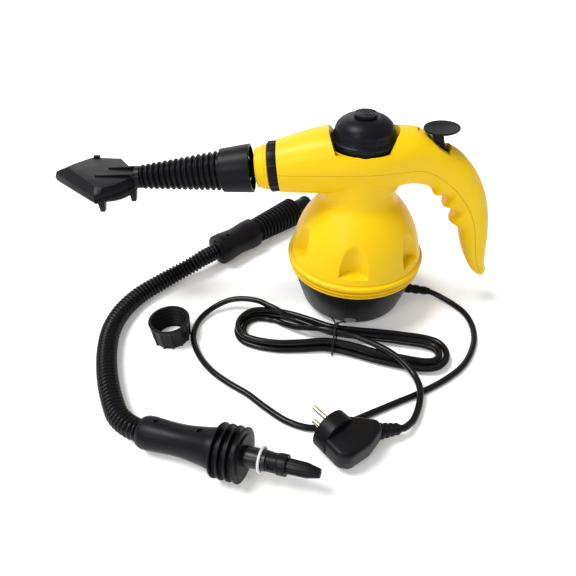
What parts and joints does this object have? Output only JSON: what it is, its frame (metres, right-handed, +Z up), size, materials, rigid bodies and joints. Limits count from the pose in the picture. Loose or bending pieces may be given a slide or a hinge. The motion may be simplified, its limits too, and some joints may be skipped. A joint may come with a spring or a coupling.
{
  "type": "handheld steam cleaner",
  "caption": "Handheld steam cleaner on a round base, with a nozzle and squeegee head, thumb trigger, screw cap, mains lead, and a ribbed hose with a jet gun and loose ring nut.",
  "frame": {"origin": "on the floor, under the middle of the round base", "axes": "+Z up; -X towards the nozzle and squeegee head; +X towards the handle; -Y towards the hank of the mains lead"},
  "size_m": [0.467, 0.4455, 0.2252],
  "materials": {
    "yellow_plastic": "semi-gloss moulded",
    "black_plastic": "satin moulded",
    "grey_plastic": "satin",
    "white_plastic": "satin",
    "black_rubber": "matt",
    "aluminium": "as cast",
    "brass": "turned",
    "steel": "plated"
  },
  "bodies": {
    "root": {"base_cup": "black_plastic", "rubber_foot_1": "black_rubber", "rubber_foot_2": "black_rubber", "rubber_foot_3": "black_rubber", "rubber_foot_4": "black_rubber", "base_screw_1": "steel", "base_screw_2": "steel", "base_screw_3": "steel", "indicator_lens": "grey_plastic", "strain_relief": "black_rubber", "upper_housing": "yellow_plastic", "lower_housing": "yellow_plastic", "boiler_lower": "aluminium", "boiler_upper": "aluminium", "boiler_gasket": "black_rubber", "heating_element": "steel", "thermostat": "black_plastic", "thermal_fuse": "white_plastic", "terminal_block": "white_plastic", "cord_clamp": "white_plastic", "filler_neck": "brass", "filler_collar": "black_plastic", "trigger_pin": "steel", "valve_body": "brass", "valve_spring": "steel", "steam_pipe_in": "steel", "steam_pipe_out": "steel", "nose_tip": "yellow_plastic", "steam_spout": "black_plastic", "spout_ring": "grey_plastic", "cord_lead": "black_rubber", "cord_hank": "black_rubber", "cord_tail": "black_rubber", "twist_tie": "black_plastic", "plug_body": "black_rubber", "plug_pin_1": "steel", "plug_pin_2": "steel"},
    "cap_seal": {"cap_gasket": "black_rubber"},
    "cap_stopper": {"cap_plug": "black_plastic", "cap_spring": "steel"},
    "cap_shell": {"safety_cap": "black_plastic", "cap_disc": "black_plastic"},
    "thumb_trigger": {"trigger": "black_plastic"},
    "valve_rod": {"valve_plunger": "steel"},
    "locking_ring": {"lock_ring": "black_plastic"},
    "nozzle": {"extension_nozzle": "black_plastic"},
    "squeegee_head": {"head_cover": "black_plastic", "head_base": "black_plastic"},
    "hose_set": {"hose_end_tube": "black_plastic", "hose_grip": "black_rubber", "coupling_upper": "black_plastic", "coupling_lower": "black_plastic", "ribbed_hose": "black_rubber", "gun_upper": "black_plastic", "gun_lower": "black_plastic", "gun_spout": "black_plastic", "gun_o_ring": "white_plastic"},
    "jet": {"jet_nozzle": "black_plastic"},
    "loose_nut": {"ring_nut": "black_plastic"}
  },
  "joints": [
    {"name": "cap_rise", "type": "slide", "parent": "root", "child": "cap_seal", "axis": [0, 0, 1], "range_m": [0, 0.006]},
    {"name": "cap_turn", "type": "hinge", "parent": "cap_seal", "child": "cap_stopper", "pos_m": [0, 0, 0.19], "axis": [0, 0, 1], "range_deg": [0, 720]},
    {"name": "cap_press", "type": "slide", "parent": "cap_stopper", "child": "cap_shell", "axis": [0, 0, 1], "range_m": [-0.0025, 0], "stiffness_N_per_m": 900, "springref_m": 0.003, "deforming": ["cap_spring"]},
    {"name": "trigger_press", "type": "hinge", "parent": "root", "child": "thumb_trigger", "pos_m": [0.086, 0, 0.171], "axis": [0, -1, 0], "range_deg": [0, 4], "stiffness_Nm_per_rad": 0.8, "springref_deg": -5.73},
    {"name": "plunger_slide", "type": "slide", "parent": "root", "child": "valve_rod", "axis": [-1, 0, 0], "range_m": [0, 0.00151]},
    {"name": "lock_ring_turn", "type": "hinge", "parent": "root", "child": "locking_ring", "pos_m": [-0.0822, 0, 0.167], "axis": [-0.9954, 0, -0.0958], "range_deg": [0, 45]},
    {"name": "nozzle_pull", "type": "slide", "parent": "root", "child": "nozzle", "axis": [-0.9954, 0, -0.0958], "range_m": [-0.004, 0.06]},
    {"name": "head_turn", "type": "hinge", "parent": "nozzle", "child": "squeegee_head", "pos_m": [-0.0822, 0, 0.167], "axis": [-0.9954, 0, -0.0958], "range_deg": [-90, 90]},
    {"name": "hose_set_lift", "type": "slide", "parent": "root", "child": "hose_set", "axis": [0, 0, 1], "range_m": [0, 0.08]},
    {"name": "jet_turn", "type": "hinge", "parent": "hose_set", "child": "jet", "pos_m": [-0.194, -0.2105, 0.0157], "axis": [0.9559, -0.2759, 0.1011], "range_deg": [0, 45]},
    {"name": "nut_lift", "type": "slide", "parent": "root", "child": "loose_nut", "axis": [0, 0, 1], "range_m": [0, 0.06]}
  ],
  "couplings": [
    {"joint": "cap_rise", "follows": "cap_turn", "m_per_rad": 0.000477},
    {"joint": "plunger_slide", "follows": "trigger_press", "m_per_rad": 0.0215}
  ]
}
